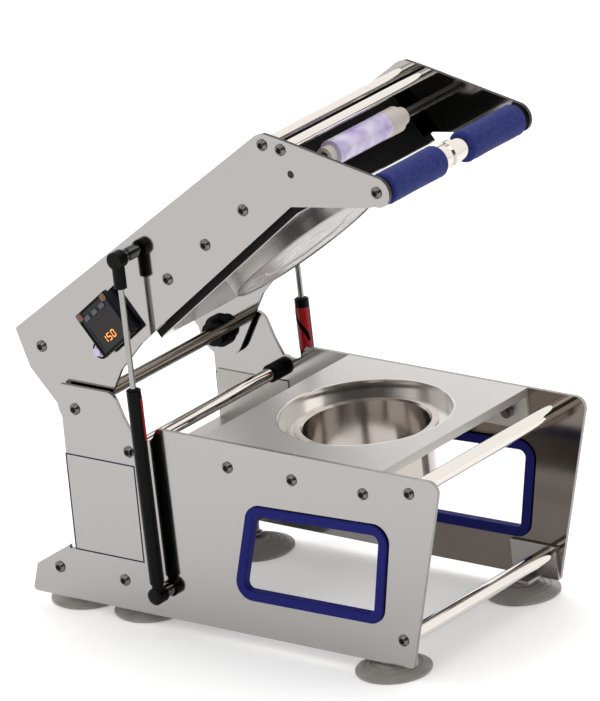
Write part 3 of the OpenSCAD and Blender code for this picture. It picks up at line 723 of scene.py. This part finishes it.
def head_cover_details():
    """Cooling ribs and four socket screws on the black head cover, each socket a flat black hexagon of
    painted shade.
    """
    lo, hi = head_box("head_cover")
    top = on_head((lo.x + hi.x) / 2, 0, hi.z)
    ribs, screws, socket_shades = [], [], []
    for i in range(9):
        rib = prism(rounded_outline(3.2 * MM, 120 * MM, 1.5 * MM), 1.4 * MM, 0.5 * MM)
        ribs.append((rib, top @ Matrix.Translation(((-64 + 16 * i) * MM, 0, 0))))
    for sx in (-1, 1):
        for sy in (-1, 1):
            at = top @ Matrix.Translation((sx * 108 * MM, sy * 88 * MM, 0))
            # Painted shade: a flat black hexagon in place of the socket's recess.
            socket = prism(polygon(6, 1.7 * MM), 0.1 * MM)
            screws.append((lathe(COVER_SCREW, 24), at))
            socket_shades.append((socket, at @ Matrix.Translation((0, 0, 2.32 * MM))))
    new_piece("head_cover_ribs", merge(ribs), "black_plastic", "head")
    new_piece("head_cover_screws", merge(screws), "bolt_steel", "head")
    new_piece("head_cover_screw_socket_shades", merge(socket_shades), "black_plastic", "head", smooth=False)


def roll_end_band():
    """Plain unprinted band of film at the far end of the take-up roll."""
    lo, hi = head_box("takeup_film")
    r = (hi.x - lo.x) / 2
    end = hi.y + 0.2 * MM
    start = hi.y - 21 * MM
    core = r - 3.9 * MM
    skin, under = r + 0.2 * MM, r - 0.1 * MM
    lap = 0.3 * MM
    outside = [(core, end), (skin, end), (skin, start)]
    profile = outside + [(under, start - lap), (under, end - lap), (core, end - lap)]
    at = on_head((lo.x + hi.x) / 2, 0, (lo.z + hi.z) / 2, -math.pi / 2)
    new_piece("takeup_film_band", sleeve(profile, 64), "white_plastic", "takeup_roll", at)


head_cover_details()
roll_end_band()


# ---- feet ----

def foot_ridges():
    """Fine moulded rings on top of each suction foot."""
    parts = []
    for lo, hi in islands("suction_feet"):
        at = Matrix.Translation(((lo.x + hi.x) / 2, (lo.y + hi.y) / 2, lo.z))
        for r, z in ((17.0, 9.9), (24.0, 8.2), (30.0, 6.5)):
            ridge = scaled((r - 0.9, z - 0.9), (r - 0.6, z + 0.45), (r + 0.4, z + 0.25), (r + 0.9, z - 1.1))
            parts.append((lathe(ridge, 56), at))
    new_piece("foot_ridges", merge(parts), "grey_rubber", "base")


foot_ridges()


# ---- studio ----

def sky(scene):
    """Pale surroundings all round, with a darker patch of room high on the camera's side."""
    world = bpy.data.worlds.new("studio")
    scene.world = world
    world.use_nodes = True
    tree = world.node_tree
    coord = tree.nodes.new("ShaderNodeTexCoord")
    dot = tree.nodes.new("ShaderNodeVectorMath")
    dot.operation = "DOT_PRODUCT"
    dot.inputs[1].default_value = Vector((0.5, -0.6, 0.62)).normalized()
    tree.links.new(coord.outputs["Generated"], dot.inputs[0])
    span = tree.nodes.new("ShaderNodeMapRange")
    span.interpolation_type = "SMOOTHSTEP"
    for name, value in (("From Min", 0.5), ("From Max", 0.9), ("To Min", 1.2), ("To Max", 0.12)):
        span.inputs[name].default_value = value
    tree.links.new(dot.outputs["Value"], span.inputs["Value"])
    shade = tree.nodes["Background"]
    shade.inputs["Color"].default_value = (1.0, 0.99, 0.98, 1.0)
    tree.links.new(span.outputs["Result"], shade.inputs["Strength"])


# Name, place, size and power of each soft light.
LIGHTS = (("key", (0.6, -2.8, 3.2), 2.4, 36.0), ("fill", (3.4, 1.2, 2.0), 2.0, 14.0),
          ("top", (-0.6, 0.6, 3.6), 2.8, 34.0))
AIM = Vector((0, 0, 0.2))


def pale_floor(scene):
    bm = bmesh.new()
    bmesh.ops.create_grid(bm, x_segments=2, y_segments=2, size=30.0)
    mesh = bpy.data.meshes.new("floor")
    bm.to_mesh(mesh)
    bm.free()
    finish = Mat("floor", (0.93, 0.93, 0.93), 0.0, 0.85, Specular_IOR_Level=0.2,
                 Emission_Color=(1.0, 1.0, 1.0, 1.0), Emission_Strength=0.2)
    finish.vary_rough(finish.noise(3.0), 0.8, 0.9)
    mesh.materials.append(finish.mat)
    floor = bpy.data.objects.new("floor", mesh)
    floor.location.z = CAD_BOX[0][2]
    scene.collection.objects.link(floor)


def studio():
    scene = bpy.context.scene
    sky(scene)
    pale_floor(scene)
    for name, at, size, power in LIGHTS:
        light = bpy.data.lights.new(name, "AREA")
        light.energy = power
        light.size = size
        obj = bpy.data.objects.new(name, light)
        obj.location = at
        obj.rotation_euler = (AIM - Vector(at)).to_track_quat("-Z", "Y").to_euler()
        scene.collection.objects.link(obj)
    scene.view_settings.view_transform = "Standard"


# The camera's direction from the object and its roll, in degrees.
AZIMUTH, ELEVATION, ROLL = 39.45, 20.64, -5.70


def camera():
    """A long lens at the photograph's viewing angle."""
    cam = bpy.data.cameras.new("camera")
    cam.sensor_width = 36.0
    cam.lens = 453.6
    cam.clip_end = 100.0
    obj = bpy.data.objects.new("camera", cam)
    az, el, roll = (math.radians(a) for a in (AZIMUTH, ELEVATION, ROLL))
    back = Vector((math.sin(az) * math.cos(el), -math.cos(az) * math.cos(el), math.sin(el)))
    right = Vector((math.cos(az), math.sin(az), 0.0))
    up = back.cross(right)
    r = right * math.cos(roll) + up * math.sin(roll)
    u = up * math.cos(roll) - right * math.sin(roll)
    turn = Matrix((r, u, back)).transposed().to_4x4()
    obj.matrix_world = Matrix.Translation((5.2896, -6.4169, 3.4054)) @ turn
    bpy.context.scene.collection.objects.link(obj)
    bpy.context.scene.camera = obj


studio()
camera()
